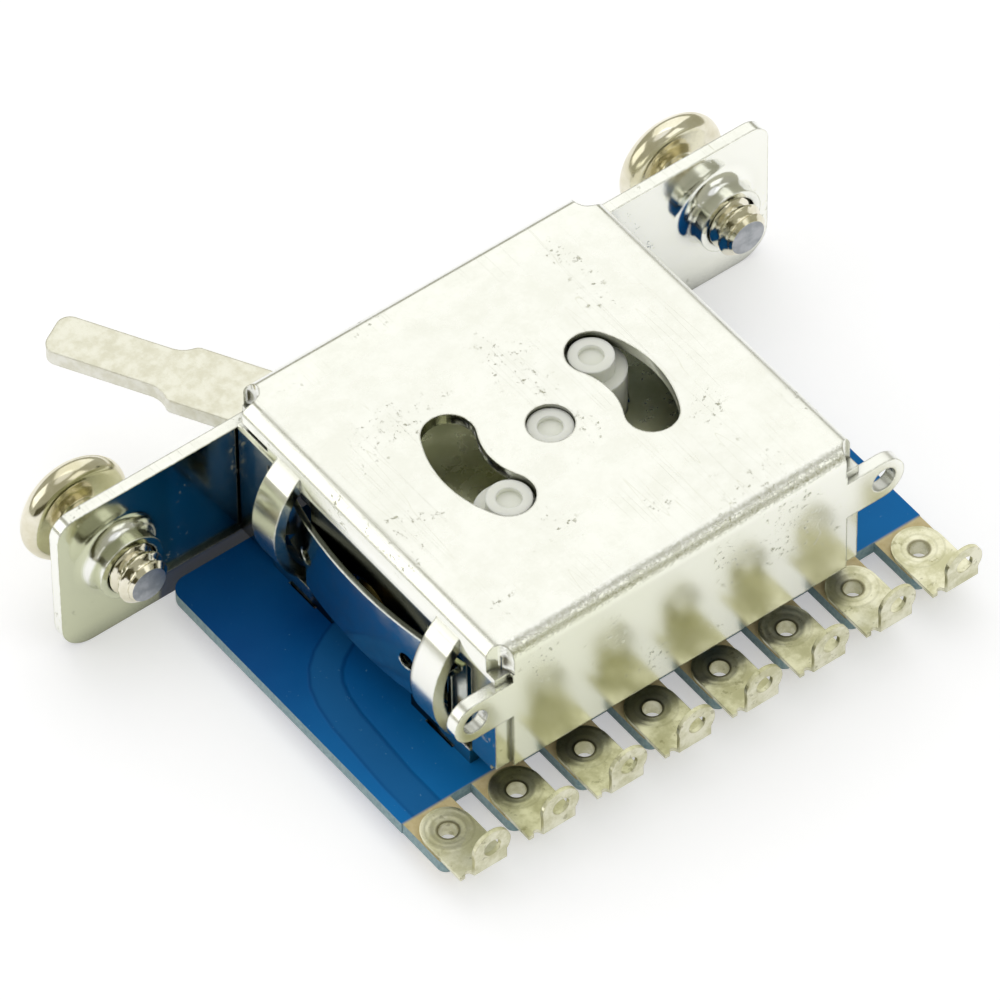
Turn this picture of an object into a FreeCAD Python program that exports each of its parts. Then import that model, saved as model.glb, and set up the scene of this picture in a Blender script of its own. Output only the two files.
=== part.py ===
import FreeCAD, Part
import Sketcher
import os

# A guitar pickup selector switch: a folded steel case on a circuit board, with a lever that
# turns a rotor through five stops. The shapes are drawn round the pivot, with the board's top
# face at zero height, and each finished part is then moved so that the origin lies on the
# mounting plate's outer face, midway between the two screws.

doc = FreeCAD.newDocument("selector_switch")
sheet = doc.addObject("Spreadsheet::Sheet", "sizes")

cells = [
    # Case, folded from one sheet
    ("sheet_thick", 0.75, "thickness of the case sheet"),
    ("case_half", 12.38, "pivot to the outside of a side wall"),
    ("case_front", 11.57, "pivot to the outside of the front wall"),
    ("pivot_depth", 12.7, "mounting face to the pivot"),
    ("case_top", 11.2, "board to the top of the case"),
    ("fold_out", 1.0, "outside radius of a fold"),
    ("fold_in", 0.3, "inside radius of a fold"),
    ("front_foot", 1.7, "board to the front wall's lower edge"),
    ("front_inset", 0.98, "side wall's outside to the front wall's end"),
    ("wall_inset", 0.32, "front wall's outside to a side wall's front edge"),
    ("back_gap", 0.9, "mounting face to a side wall's back edge"),
    ("relief_hole", 1.08, "radius of the hole where two folds meet at the front"),
    ("relief_back", 0.85, "radius of the hole where two folds meet at the back"),
    # Mounting plate
    ("plate_margin", 3.8, "screw axis to the plate's end"),
    ("plate_up", 8.7, "board to the plate's upper edge"),
    ("plate_down", 1.7, "board to the plate's lower edge"),
    ("plate_corner", 1.3, "radius of the plate's upper corners"),
    ("plate_foot", 2.0, "radius of the plate's lower corners"),
    ("screw_half", 20.65, "half the distance between the screws"),
    ("screw_rise", 4.3, "board to the screw axis"),
    ("collar_flare", 2.9, "radius of the drawn collar's foot"),
    ("collar_lip", 2.1, "radius of the drawn collar's lip"),
    ("collar_long", 1.5, "length of the drawn collar"),
    # Solder ears on the front wall
    ("lobe_out", 1.55, "side wall's outside to a solder ear's hole"),
    ("lobe_rise", 7.2, "board to a solder ear's hole"),
    ("lobe_outer", 1.4, "radius of a solder ear's end"),
    ("lobe_hole", 0.8, "radius of a solder ear's hole"),
    # Side wall openings, straps and feet
    ("strap_near", 6.1, "pivot to a strap's near edge"),
    ("strap_far", 8.15, "pivot to a strap's far edge"),
    ("slit_far", 9.1, "pivot to the far side of the slit beside a strap"),
    ("slit_low", 1.1, "board to the lower end of a slit"),
    ("slit_high", 8.2, "board to the upper end of a slit"),
    ("slit_near", 5.2, "pivot to the near side of the slit before a strap"),
    ("strap_root", 9.75, "board to the upper root of a strap"),
    ("strap_open", 8.4, "board to the top of the opening behind a strap"),
    ("foot_near", 3.6, "half the length of the notch under the wall"),
    ("foot_far", 8.9, "pivot to the far end of a foot"),
    ("foot_high", 1.2, "height of the foot under the slits and straps"),
    ("wall_foot", 1.35, "board to the wall's edge beyond a foot"),
    ("arch_radius", 5.5, "outside radius of a strap's arch"),
    ("arch_out", 1.86, "how far a strap stands out of the wall"),
    ("arch_rise", 5.6, "board to the arch's centre"),
    ("tab_half", 1.1, "half the width of a fixing tab"),
    ("tab_place", 6.2, "pivot to the middle of a fixing tab"),
    ("tab_below", 1.5, "board's top to a tab's end"),
    # Slots and holes in the case
    ("swing", 29, "lever angle at either end, in degrees"),
    ("peg_share", 0.45, "pivot to a peg's centre, as a share of case_half"),
    ("slot_half", 1.53, "half the width of a curved slot"),
    ("panel_thick", 2.0, "thickest panel that the lever swings freely through"),
    # Board
    ("board_half", 17.85, "half the board's length"),
    ("board_thick", 0.8, "board thickness"),
    ("board_under", 1.57, "front wall's outside to the board's front edge, under the case"),
    ("board_gap", 1.4, "mounting face to the board's back edge"),
    ("board_round", 1.1, "corner radius of the board"),
    ("finger_round", 0.55, "corner radius of a finger"),
    ("pitch", 4.63, "distance between neighbouring terminals"),
    ("finger_wide", 3.2, "width of a board finger"),
    ("finger_end", 13.7, "pivot to the end of a finger"),
    # Terminals
    ("hole_row", 11.96, "pivot to the row of eyelets"),
    ("tag_wide", 3.1, "width of a terminal"),
    ("tag_thick", 0.26, "thickness of the terminal sheet"),
    ("tag_end", 15.1, "pivot to the front edge of a terminal"),
    ("tag_round", 1.55, "radius of a terminal's back end"),
    ("eyelet_bore", 0.55, "radius through the eyelet"),
    ("eyelet_skin", 0.16, "wall of the eyelet"),
    ("lug_rise", 1.65, "board to the middle of a lug"),
    ("lug_round", 1.22, "radius of a lug"),
    ("lug_shift", 0.44, "terminal's middle to the lug's middle"),
    ("lug_bore", 0.56, "radius of a lug's hole"),
    # Lever
    ("lever_low", 4.4, "board to the lever's underside"),
    ("lever_thick", 1.0, "thickness of the lever"),
    ("lever_reach", 30.03, "pivot to the lever's tip"),
    ("lever_neck", 21.9, "pivot to the lever's shoulders"),
    ("lever_wide", 4.2, "width at the plate"),
    ("tip_wide", 2.87, "width of the tip"),
    ("tip_round", 0.8, "corner radius of the tip"),
    ("neck_round", 1.6, "hollow radius where the arm steps in"),
    ("shoulder_round", 0.5, "radius of the arm's shoulders"),
    ("hub_round", 3.4, "radius of the lever's hub"),
    # Rotor
    ("boss_radius", 1.31, "radius of the centre boss"),
    ("peg_radius", 1.3, "radius of a peg in its slot"),
    ("peg_foot", 2.0, "radius of a peg under the case's top"),
    ("peg_step", 9.95, "board to the step of a peg"),
    ("recess_radius", 0.72, "radius of the recess in a peg's end"),
    ("recess_deep", 0.3, "depth of that recess"),
    ("bar_half", 2.0, "half the width of the carrier bar"),
    ("foot_step", 1.0, "how far the carrier's foot steps out on the board"),
    ("lid_inset", 2.4, "side wall's outside to the cover plate's rim"),
    ("lid_low", 6.65, "board to the underside of the cover plate"),
    ("lid_thick", 0.5, "thickness of the cover plate"),
    ("spacer_radius", 3.0, "outside radius of the spacer under the cover plate"),
    ("wiper_place", 4.6, "pivot to the middle of a wiper"),
    ("wiper_half", 2.2, "half the length of a wiper's plate"),
    ("wiper_deep", 1.5, "half the width of a wiper's plate"),
    ("wiper_thick", 0.25, "thickness of the wiper sheet"),
    ("wiper_finger", 5.2, "length of a wiper's finger"),
    ("wiper_apart", 1.2, "middle of a wiper to one of its fingers"),
    ("peg_top", 10.95, "board to the top of the pegs"),
    ("bar_low", 1.9, "board to the underside of the carrier bar"),
    ("disc_low", 3.3, "board to the underside of the notched disc"),
    ("notch_radius", 2.3, "radius of a notch"),
    ("notch_deep", 0.3, "depth of a notch"),
    ("square_half", 1.8, "half the square that turns the lever"),
    # Detents
    ("ball_share", 0.17, "radius of a detent ball, as a share of case_half"),
    ("ball_rise", 4.45, "board to the ball's centre"),
    ("ball_play", 0.1, "clearance round a ball in the wall's hole"),
    ("spring_thick", 0.35, "thickness of a leaf spring"),
    ("spring_radius", 29.5, "bow of a leaf spring"),
    ("spring_low", 2.0, "board to a spring's lower edge"),
    ("spring_high", 7.1, "board to a spring's upper edge"),
    ("spring_half", 8.0, "half the length of a spring"),
    ("bow_out", 0.87, "how far a spring's bow stands out of the wall"),
    ("spring_eye", 0.55, "radius of the holes near a spring's ends"),
    ("eye_place", 4.65, "half the distance between those holes"),
    ("eye_shift", 0.6, "pivot to midway between those holes"),
    # Screws
    ("thread_radius", 1.6, "outside radius of the screw thread"),
    ("head_gap", 2.5, "plate to the underside of the head"),
    ("head_flat", 2.75, "radius of the head's underside"),
    ("head_radius", 3.4, "radius of the head"),
    ("head_high", 2.4, "height of the head"),
    ("screw_end", 3.05, "plate's inner face to the end of the screw"),
    ("recess_reach", 1.75, "half the length of the head's cross at the top"),
    ("recess_wide", 0.85, "width of the head's cross"),
    ("cross_deep", 1.5, "depth of the head's cross"),
    # Fits
    ("running", 0.05, "clearance round a turning piece"),
    ("slack", 0.1, "clearance round a fixed piece"),
    ("ball_gap", 0.03, "gap between a ball and its spring"),
]

for row, (alias, value, note) in enumerate(cells, start=1):
    sheet.set(f"A{row}", note)
    sheet.set(f"B{row}", str(value))
    sheet.setAlias(f"B{row}", alias)
doc.recompute()

# Lengths that follow the case: a peg's distance from the pivot and the radius of a detent ball.
peg_place = "(case_half * peg_share)"
ball_radius = "(case_half * ball_share)"

UP = FreeCAD.Rotation()
BACKWARD = FreeCAD.Rotation(FreeCAD.Vector(1, 0, 0), -90)
RIGHTWARD = FreeCAD.Rotation(FreeCAD.Vector(0, 1, 0), 90)
nodes = []


def size(text):
    """Returns an expression in which every word of the table carries the table's name."""
    words = {alias for alias, value, note in cells}
    out = ""
    word = ""
    for letter in str(text) + " ":
        if letter.isalnum() or letter == "_":
            word += letter
            continue
        out += ("sizes." + word) if word in words else word
        out += letter
        word = ""
    return out.strip()


def bind(item, prop, text):
    item.setExpression(prop, size(text))


def put(item, x, y, z, turn=UP):
    item.Placement = FreeCAD.Placement(FreeCAD.Vector(), turn)
    for axis, text in zip("xyz", (x, y, z)):
        bind(item, "Placement.Base." + axis, text)
    return item


def block(name, x, y, z):
    """A box between two limits on each axis, given as pairs of expressions."""
    item = doc.addObject("Part::Box", name)
    for prop, (low, high) in zip(("Length", "Width", "Height"), (x, y, z)):
        bind(item, prop, f"({high}) - ({low})")
    return put(item, x[0], y[0], z[0])


def rod(name, radius, length, x, y, z, turn=UP):
    item = doc.addObject("Part::Cylinder", name)
    bind(item, "Radius", radius)
    bind(item, "Height", length)
    return put(item, x, y, z, turn)


def cone(name, low, high, length, x, y, z, turn=UP):
    item = doc.addObject("Part::Cone", name)
    bind(item, "Radius1", low)
    bind(item, "Radius2", high)
    bind(item, "Height", length)
    return put(item, x, y, z, turn)


def ring(name, major, minor, x, y, z, turn=UP):
    item = doc.addObject("Part::Torus", name)
    bind(item, "Radius1", major)
    bind(item, "Radius2", minor)
    return put(item, x, y, z, turn)


def join(name, items):
    item = doc.addObject("Part::MultiFuse", name)
    item.Shapes = items
    item.Refine = True
    return item


def cut(name, base, tools):
    item = doc.addObject("Part::Cut", name)
    item.Base = base
    item.Tool = tools[0] if len(tools) == 1 else join(name + "_tools", tools)
    item.Refine = True
    return item


def common(name, items):
    item = doc.addObject("Part::MultiCommon", name)
    item.Shapes = items
    return item


def mirror(name, source):
    """The same shape on the other side of the plane through the pivot, seen from the front."""
    item = doc.addObject("Part::Mirroring", name)
    item.Source = source
    item.Normal = FreeCAD.Vector(1, 0, 0)
    return item


def edges_where(item, test):
    doc.recompute()
    found = []
    for number, edge in enumerate(item.Shape.Edges, start=1):
        if test(edge):
            found.append(number)
    return found


def rounded(name, base, radius, test):
    """Rounds the chosen edges; the radius comes from the table and follows it."""
    item = doc.addObject("Part::Fillet", name)
    item.Base = base
    value = float(sheet.get(radius))
    item.Edges = [(number, value, value) for number in edges_where(base, test)]
    doc.recompute()
    return item


def upright(edge):
    box = edge.BoundBox
    return box.XLength < 1e-6 and box.YLength < 1e-6


def along_y(edge):
    box = edge.BoundBox
    return box.XLength < 1e-6 and box.ZLength < 1e-6 and len(edge.Vertexes) == 2


def finish(item, label, turned=False):
    """Moves a finished part from the pivot's frame to the mounting plate's frame."""
    item.Label = label
    if turned:
        item.Placement = FreeCAD.Placement(FreeCAD.Vector(), FreeCAD.Rotation(FreeCAD.Vector(0, 0, 1), 1))
        bind(item, "Placement.Rotation.Angle", "swing")
    bind(item, "Placement.Base.y", "-pivot_depth")
    bind(item, "Placement.Base.z", "-screw_rise")
    nodes.append(item)


# Case shell: two rounded blocks, one inside the other, give the folded sheet its bends.
def shell_block(name, half, front, back, top, fold):
    """A block whose top edges are rounded like a fold, open underneath."""
    body = doc.addObject("PartDesign::Body", name)
    plane = next(f for f in body.Origin.OriginFeatures if f.Role == "XY_Plane")
    sketch = body.newObject("Sketcher::SketchObject", name + "_plan")
    sketch.AttachmentSupport = [(plane, "")]
    sketch.MapMode = "FlatFace"
    corners = [(-10, -10), (10, -10), (10, 10), (-10, 10)]
    for number, (x, y) in enumerate(corners):
        end = corners[(number + 1) % 4]
        sketch.addGeometry(Part.LineSegment(FreeCAD.Vector(x, y, 0), FreeCAD.Vector(*end, 0)))
    for number in range(4):
        sketch.addConstraint(Sketcher.Constraint("Coincident", number, 2, (number + 1) % 4, 1))
    sketch.addConstraint(Sketcher.Constraint("Horizontal", 0))
    sketch.addConstraint(Sketcher.Constraint("Vertical", 1))
    sketch.addConstraint(Sketcher.Constraint("Horizontal", 2))
    sketch.addConstraint(Sketcher.Constraint("Vertical", 3))
    limits = (("DistanceX", 0, 1, -10, f"-({half})"), ("DistanceX", 1, 1, 10, half),
              ("DistanceY", 0, 1, -10, f"-({front})"), ("DistanceY", 2, 1, 10, back))
    for kind, line, point, value, text in limits:
        index = sketch.addConstraint(Sketcher.Constraint(kind, -1, 1, line, point, value))
        sketch.setDatum(index, FreeCAD.Units.Quantity(f"{value} mm"))
        sketch.setExpression(f"Constraints[{index}]", size(text))
    pad = body.newObject("PartDesign::Pad", name + "_pad")
    pad.Profile = sketch
    pad.setExpression("Length", size(f"{top} + 4"))
    doc.recompute()
    high = max(vertex.Z for vertex in pad.Shape.Vertexes)
    edges = [f"Edge{number}" for number, edge in enumerate(pad.Shape.Edges, start=1)
             if edge.BoundBox.ZMin > high - 1e-6]
    bend = body.newObject("PartDesign::Fillet", name + "_bend")
    bend.Base = (pad, edges)
    bend.setExpression("Radius", size(fold))
    bend.Refine = True
    body.setExpression("Placement.Base.z", "-4")
    doc.recompute()
    return body


outer = shell_block("outer_skin", "case_half", "case_front", "pivot_depth", "case_top", "fold_out")
inner = shell_block("inner_skin", "case_half - sheet_thick", "case_front - sheet_thick",
                    "pivot_depth - sheet_thick", "case_top - sheet_thick", "fold_in")
plate = block("plate_blank", ("-screw_half - plate_margin", "screw_half + plate_margin"),
              ("pivot_depth - sheet_thick", "pivot_depth"),
              ("-plate_down", "plate_up"))
plate_upper = rounded("plate_upper", plate, "plate_corner",
                      lambda edge: along_y(edge) and edge.Vertexes[0].Z > 0)
plate_round = rounded("plate_round", plate_upper, "plate_foot",
                      lambda edge: along_y(edge) and edge.Vertexes[0].Z < 0)

everywhere = ("-case_half - 1", "case_half + 1")
outside_x = ("-case_half - 1", "-case_half + sheet_thick + 0.2")
lever_gap = "(pivot_depth + panel_thick) * tan(1deg * swing) + lever_wide / 2 / cos(1deg * swing) + slack"
openings = [
    block("below_board", everywhere, ("-case_front - 1", "pivot_depth - sheet_thick"), ("-5", "0")),
    block("below_plate", everywhere, ("pivot_depth - sheet_thick - 0.01", "pivot_depth + 1"),
          ("-5", "-plate_down")),
    block("below_front", everywhere, ("-case_front - 1", "-case_front + sheet_thick + 0.01"),
          ("-5", "front_foot")),
    block("lever_slot", (f"-({lever_gap})", lever_gap),
          ("pivot_depth - sheet_thick - 1", "pivot_depth + 1"),
          ("lever_low - 0.25", "lever_low + lever_thick + 0.25")),
    rod("centre_hole", "boss_radius + running", "4", "0", "0", "case_top - 2"),
]
side_cuts = [
    rod("ball_seat", f"{ball_radius} + ball_play", "2", "-case_half - 1", "0", "ball_rise", RIGHTWARD),
    block("foot_notch", outside_x, ("-foot_near", "foot_near"), ("-1", "foot_high")),
    block("front_corner", ("-case_half - 1", "-(case_half - front_inset)"),
          ("-case_front - 1", "-(case_front - wall_inset)"),
          ("-5", "case_top - fold_out")),
    block("back_corner", outside_x, ("(pivot_depth - back_gap)", "pivot_depth - sheet_thick"),
          ("-5", "case_top - fold_out - 0.8")),
    block("back_fold_end", ("-case_half - 1", "-(case_half - front_inset)"),
          ("(pivot_depth - back_gap)", "pivot_depth + 1"),
          ("plate_up", "case_top + 1")),
    block("back_slit", outside_x, ("slit_far", "pivot_depth - sheet_thick"),
          ("case_top - fold_out - 0.9", "case_top - fold_out - 0.6")),
    block("front_rise", outside_x, ("-case_front - 1", "-foot_far"), ("-1", "wall_foot")),
    block("back_rise", outside_x, ("foot_far", "(pivot_depth - back_gap) + 0.1"), ("-1", "0.4")),
    rod("front_relief", "relief_hole", "3", "-case_half", "-case_front", "case_top - fold_out - 1"),
    rod("back_relief", "relief_back", "3", "-case_half + 0.6", "(pivot_depth - back_gap) + 0.2",
        "case_top - fold_out - 1"),
]
for side, limits in (("front", ("-slit_far", "-slit_near")), ("back", ("slit_near", "slit_far"))):
    side_cuts.append(block(side + "_slit", outside_x, limits, ("slit_low", "slit_high")))
for side, limits in (("front", ("-strap_far", "-strap_near")), ("back", ("strap_near", "strap_far"))):
    side_cuts.append(block(side + "_strap_gap", outside_x, limits, ("foot_high", "strap_open")))
left_cuts = join("left_cuts", side_cuts)
right_cuts = mirror("right_cuts", left_cuts)

# Curved slots: a ring sector with a round end on each side, the same on the left and right.
sector = doc.addObject("Part::Cylinder", "slot_outer")
bind(sector, "Radius", f"{peg_place} + slot_half")
bind(sector, "Height", "4")
bind(sector, "Angle", "2 * (swing - 0.5)")
slot_core = rod("slot_inner", f"{peg_place} - slot_half", "6", "0", "0", "-1")
arc = cut("slot_arc", sector, [slot_core])
arc.Placement = FreeCAD.Placement(FreeCAD.Vector(), FreeCAD.Rotation(FreeCAD.Vector(0, 0, 1), 1))
bind(arc, "Placement.Rotation.Angle", "360 - (swing - 0.5)")
bind(arc, "Placement.Base.z", "case_top - 2")
slot_parts = [arc]
for side, sign in (("front", "-"), ("back", "")):
    slot_parts.append(rod("slot_end_" + side, "slot_half", "4", f"{peg_place} * cos(1deg * (swing - 0.5))",
                          f"{sign}{peg_place} * sin(1deg * (swing - 0.5))", "case_top - 2"))
right_slot = join("right_slot", slot_parts)
left_slot = mirror("left_slot", right_slot)

folded = cut("folded", join("blank", [outer, plate_round]), [inner])
opened = cut("opened", folded, openings + [left_cuts, right_cuts, right_slot, left_slot])


def one_side(tag):
    """Straps, fixing tabs, solder ear and screw collar of the left side."""
    items = []
    hoop = cut(tag + "_hoop", rod(tag + "_hoop_out", "arch_radius", "2 * strap_far",
                                  "-case_half - arch_out + arch_radius", "-strap_far", "arch_rise",
                                  BACKWARD),
               [rod(tag + "_hoop_in", "arch_radius - sheet_thick", "2 * strap_far + 2",
                    "-case_half - arch_out + arch_radius", "-strap_far - 1", "arch_rise", BACKWARD)])
    limit = block(tag + "_hoop_limit", ("-case_half - 4", "-case_half + sheet_thick"),
                  ("-strap_far", "strap_far"), ("foot_high - 0.3", "strap_root"))
    gap = block(tag + "_hoop_gap", ("-case_half - 5", "-case_half + 2"), ("-strap_near", "strap_near"),
                ("-2", "14"))
    items.append(cut(tag + "_straps", common(tag + "_hoops", [hoop, limit]), [gap]))
    for place, sign in (("front", "-"), ("back", "")):
        items.append(block(f"{tag}_tab_{place}", ("-case_half", "-case_half + sheet_thick"),
                           (f"{sign}tab_place - tab_half", f"{sign}tab_place + tab_half"),
                           ("-tab_below", "0.5")))
    items.append(block(tag + "_lobe_arm", ("-case_half - lobe_out", "-(case_half - front_inset) + 0.5"),
                       ("-case_front", "-case_front + sheet_thick"),
                       ("lobe_rise - lobe_outer", "lobe_rise + lobe_outer")))
    items.append(rod(tag + "_lobe_end", "lobe_outer", "sheet_thick", "-case_half - lobe_out", "-case_front",
                     "lobe_rise", BACKWARD))
    flare = rod(tag + "_collar_foot", "collar_flare", "collar_flare - collar_lip + 0.1", "-screw_half",
                "pivot_depth - sheet_thick - (collar_flare - collar_lip)", "screw_rise", BACKWARD)
    scoop = ring(tag + "_collar_scoop", "collar_flare", "collar_flare - collar_lip", "-screw_half",
                 "pivot_depth - sheet_thick - (collar_flare - collar_lip)", "screw_rise", BACKWARD)
    items.append(cut(tag + "_collar_flare", flare, [scoop]))
    items.append(rod(tag + "_collar_pipe", "collar_lip", "collar_long + 0.1", "-screw_half",
                     "pivot_depth - sheet_thick - collar_long", "screw_rise", BACKWARD))
    return join(tag + "_side", items)


left_side = one_side("left")
right_side = mirror("right_side", left_side)
left_holes = join("left_holes", [
    rod("lobe_bore", "lobe_hole", "3", "-case_half - lobe_out", "-case_front - 1", "lobe_rise", BACKWARD),
    rod("screw_bore", "thread_radius + running", "6", "-screw_half", "pivot_depth - 4", "screw_rise",
        BACKWARD),
])
right_holes = mirror("right_holes", left_holes)
housing = cut("housing_solid", join("with_sides", [opened, left_side, right_side]),
              [left_holes, right_holes])
finish(housing, "housing")

# Circuit board: a plain sheet with eight fingers, one under each terminal.
board_sheet = block("board_sheet", ("-board_half", "board_half"),
                    ("-(case_front - board_under)", "pivot_depth - board_gap"), ("-board_thick", "0"))
sheet_round = rounded("board_corners", board_sheet, "board_round",
                      lambda edge: upright(edge) and edge.Vertexes[0].Y > 0)
finger_row = 1 - float(sheet.get("finger_end"))
fingers = []
bores = []
for number in range(8):
    middle = f"({number} - 3.5) * pitch"
    finger = block(f"finger_{number + 1}", (f"{middle} - finger_wide / 2", f"{middle} + finger_wide / 2"),
                   ("-finger_end", "-(case_front - board_under) + 0.5"), ("-board_thick", "0"))
    fingers.append(rounded(f"finger_corners_{number + 1}", finger, "finger_round",
                           lambda edge: upright(edge) and edge.Vertexes[0].Y < finger_row))
    bores.append(rod(f"finger_bore_{number + 1}", "eyelet_bore + eyelet_skin + slack / 2", "2", middle,
                     "-hole_row", "-1.5"))
board_cuts = bores + [rod("pivot_bore", "boss_radius + running", "2", "0", "0", "-1.5")]
for side in ("-", ""):
    for place in ("-", ""):
        inner_face = "(case_half - sheet_thick - slack)"
        outer_face = "(case_half + slack)"
        low, high = (f"-{outer_face}", f"-{inner_face}") if side else (inner_face, outer_face)
        board_cuts.append(block(f"tab_slot_{len(board_cuts)}", (low, high),
                                (f"{place}tab_place - tab_half - slack",
                                 f"{place}tab_place + tab_half + slack"),
                                ("-2", "1")))
board = cut("board_solid", join("board_blank", [sheet_round] + fingers), board_cuts)
finish(board, "circuit_board")


# Terminals: a flat tag with a turned-up lug, held to its finger by an eyelet drawn from the tag.
def terminal(number):
    tag = f"terminal_{number}"
    middle = f"(({number} - 4.5) * pitch)"
    half = "tag_wide / 2"
    flat = [
        block(tag + "_flat", (f"{middle} - {half}", f"{middle} + {half}"), ("-tag_end", "-hole_row"),
              ("0", "tag_thick")),
        rod(tag + "_round", "tag_round", "tag_thick", middle, "-hole_row", "0"),
        rod(tag + "_barrel", "eyelet_bore + eyelet_skin", "board_thick + tag_thick", middle, "-hole_row",
            "-board_thick"),
        cone(tag + "_rolled", "2 * eyelet_bore", "eyelet_bore + eyelet_skin", "0.35", middle, "-hole_row",
             "-board_thick - 0.35"),
    ]
    lug_y = "-tag_end - tag_thick"
    neck = (f"{middle} - 0.74", f"{middle} + 1.4")
    flat += [
        rod(tag + "_lug", "lug_round", "tag_thick", f"{middle} + lug_shift", lug_y, "lug_rise", BACKWARD),
        block(tag + "_neck", neck, (lug_y, "-tag_end"), ("tag_thick", "lug_rise")),
        common(tag + "_fold", [
            block(tag + "_fold_limit", neck, (lug_y, "-tag_end + 0.01"), ("0", "tag_thick + 0.01")),
            rod(tag + "_fold_round", "tag_thick", "tag_wide", f"{middle} - {half}", "-tag_end", "tag_thick",
                RIGHTWARD),
        ]),
    ]
    tools = [
        rod(tag + "_bore", "eyelet_bore", "4", middle, "-hole_row", "-2"),
        cone(tag + "_mouth", "eyelet_bore", "tag_round - 0.1", "0.16", middle, "-hole_row",
             "tag_thick - 0.14"),
        cone(tag + "_bell", "eyelet_bore + 0.4", "eyelet_bore", "0.3", middle, "-hole_row",
             "-board_thick - 0.4"),
        rod(tag + "_eye", "lug_bore", "2", f"{middle} + lug_shift", "-tag_end - 1", "lug_rise", BACKWARD),
        rod(tag + "_nick", "0.22", "2", f"{middle} - 1.0", "-tag_end", "-1"),
    ]
    solid = cut(tag + "_solid", join(tag + "_blank", flat), tools)
    finish(solid, tag)


for number in range(1, 9):
    terminal(number)

# Carrier: the moulded bar whose pegs run in the case's curved slots.
carrier_parts = [
    block("carrier_bar", (f"-{peg_place} - bar_half", f"{peg_place} + bar_half"), ("-bar_half", "bar_half"),
          ("bar_low", "disc_low")),
    rod("carrier_foot", "boss_radius", "board_thick + bar_low + 0.1", "0", "0", "-board_thick"),
    rod("carrier_step", "boss_radius + foot_step", "bar_low - slack", "0", "0", "slack"),
    block("carrier_square", ("-square_half", "square_half"), ("-square_half", "square_half"),
          ("disc_low - 0.1", "lever_low + lever_thick")),
    rod("carrier_neck", "square_half", "case_top - sheet_thick - slack - lever_low - lever_thick", "0", "0",
        "lever_low + lever_thick"),
    rod("carrier_boss", "boss_radius", "peg_top - lever_low - lever_thick", "0", "0",
        "lever_low + lever_thick"),
]
recesses = [rod("boss_recess", "recess_radius", "1", "0", "0", "peg_top - recess_deep")]
for side, sign in (("left", "-"), ("right", "")):
    carrier_parts.append(rod(side + "_peg_foot", "peg_foot", "peg_step - disc_low + 0.1",
                             f"{sign}{peg_place}", "0",
                             "disc_low - 0.1"))
    carrier_parts.append(rod(side + "_peg", "peg_radius", "peg_top - disc_low", f"{sign}{peg_place}", "0",
                             "disc_low"))
    recesses.append(rod(side + "_peg_recess", "recess_radius", "1", f"{sign}{peg_place}", "0",
                        "peg_top - recess_deep"))
carrier = cut("carrier_solid", join("carrier_blank", carrier_parts), recesses)
finish(carrier, "carrier", turned=True)

# Notched disc: five shallow notches on each side, one for every stop of the lever.
disc_radius = f"(case_half + bow_out - spring_thick - ball_gap - 2 * {ball_radius} - running)"
disc = rod("disc_blank", disc_radius, "lever_low - disc_low", "0", "0", "disc_low")
disc_cuts = [block("disc_square", ("-square_half - slack", "square_half + slack"),
                   ("-square_half - slack", "square_half + slack"), ("disc_low - 1", "lever_low + 1"))]
for side, sign in (("left", "-"), ("right", "")):
    disc_cuts.append(rod(side + "_peg_hole", "peg_foot + slack", "4", f"{sign}{peg_place}", "0",
                         "disc_low - 1"))
    for stop in range(5):
        angle = f"1deg * swing * ({stop} - 2) / 2"
        radius = f"({disc_radius} - notch_deep + notch_radius)"
        disc_cuts.append(rod(f"{side}_notch_{stop + 1}", "notch_radius", "4",
                             f"{sign}{radius} * cos({angle})",
                             f"{radius} * sin({angle})", "disc_low - 1"))
notched = cut("disc_solid", disc, disc_cuts)
finish(notched, "detent_disc", turned=True)

# Spacer ring and cover plate: they lie over the lever, and the pegs' feet pass through the plate.
ring_blank = rod("spacer_blank", "spacer_radius", "lid_low - lever_low - lever_thick", "0", "0",
                 "lever_low + lever_thick")
spacer = cut("spacer_solid", ring_blank, [rod("spacer_bore", "square_half + running", "4", "0", "0",
                                              "lever_low")])
finish(spacer, "spacer_ring", turned=True)
lid_holes = [rod("lid_bore", "square_half + running", "2", "0", "0", "lid_low - 1")]
for side, sign in (("left", "-"), ("right", "")):
    lid_holes.append(rod(side + "_lid_hole", "peg_foot + slack", "2", f"{sign}{peg_place}", "0",
                         "lid_low - 1"))
lid = cut("lid_solid", rod("lid_blank", "case_half - lid_inset", "lid_thick", "0", "0", "lid_low"),
          lid_holes)
finish(lid, "cover_plate", turned=True)

# Lever: a flat arm with a square eye, stepped in to a narrow tip that takes the knob.
arm = [
    rod("lever_hub", "hub_round", "lever_thick", "0", "0", "lever_low"),
    block("lever_arm", ("-lever_wide / 2", "lever_wide / 2"), ("0", "lever_neck + neck_round - 0.1"),
          ("lever_low", "lever_low + lever_thick")),
]
tip = block("lever_tip", ("-tip_wide / 2", "tip_wide / 2"), ("lever_neck - 1", "lever_reach"),
            ("lever_low", "lever_low + lever_thick"))
arm.append(rounded("lever_tip_corners", tip, "tip_round",
                   lambda edge: upright(edge) and edge.Vertexes[0].Y > float(sheet.get("lever_neck"))))
hollows = []
for side, sign in (("left", "-"), ("right", "")):
    hollows.append(rod(side + "_neck_hollow", "neck_round", "4", f"{sign}(tip_wide / 2 + neck_round)",
                       "lever_neck + neck_round - 0.1", "lever_low - 1"))
lever_cut = cut("lever_cut", join("lever_blank", arm), hollows + [
    block("lever_eye", ("-square_half - slack", "square_half + slack"),
          ("-square_half - slack", "square_half + slack"),
          ("lever_low - 1", "lever_low + lever_thick + 1")),
])
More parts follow.
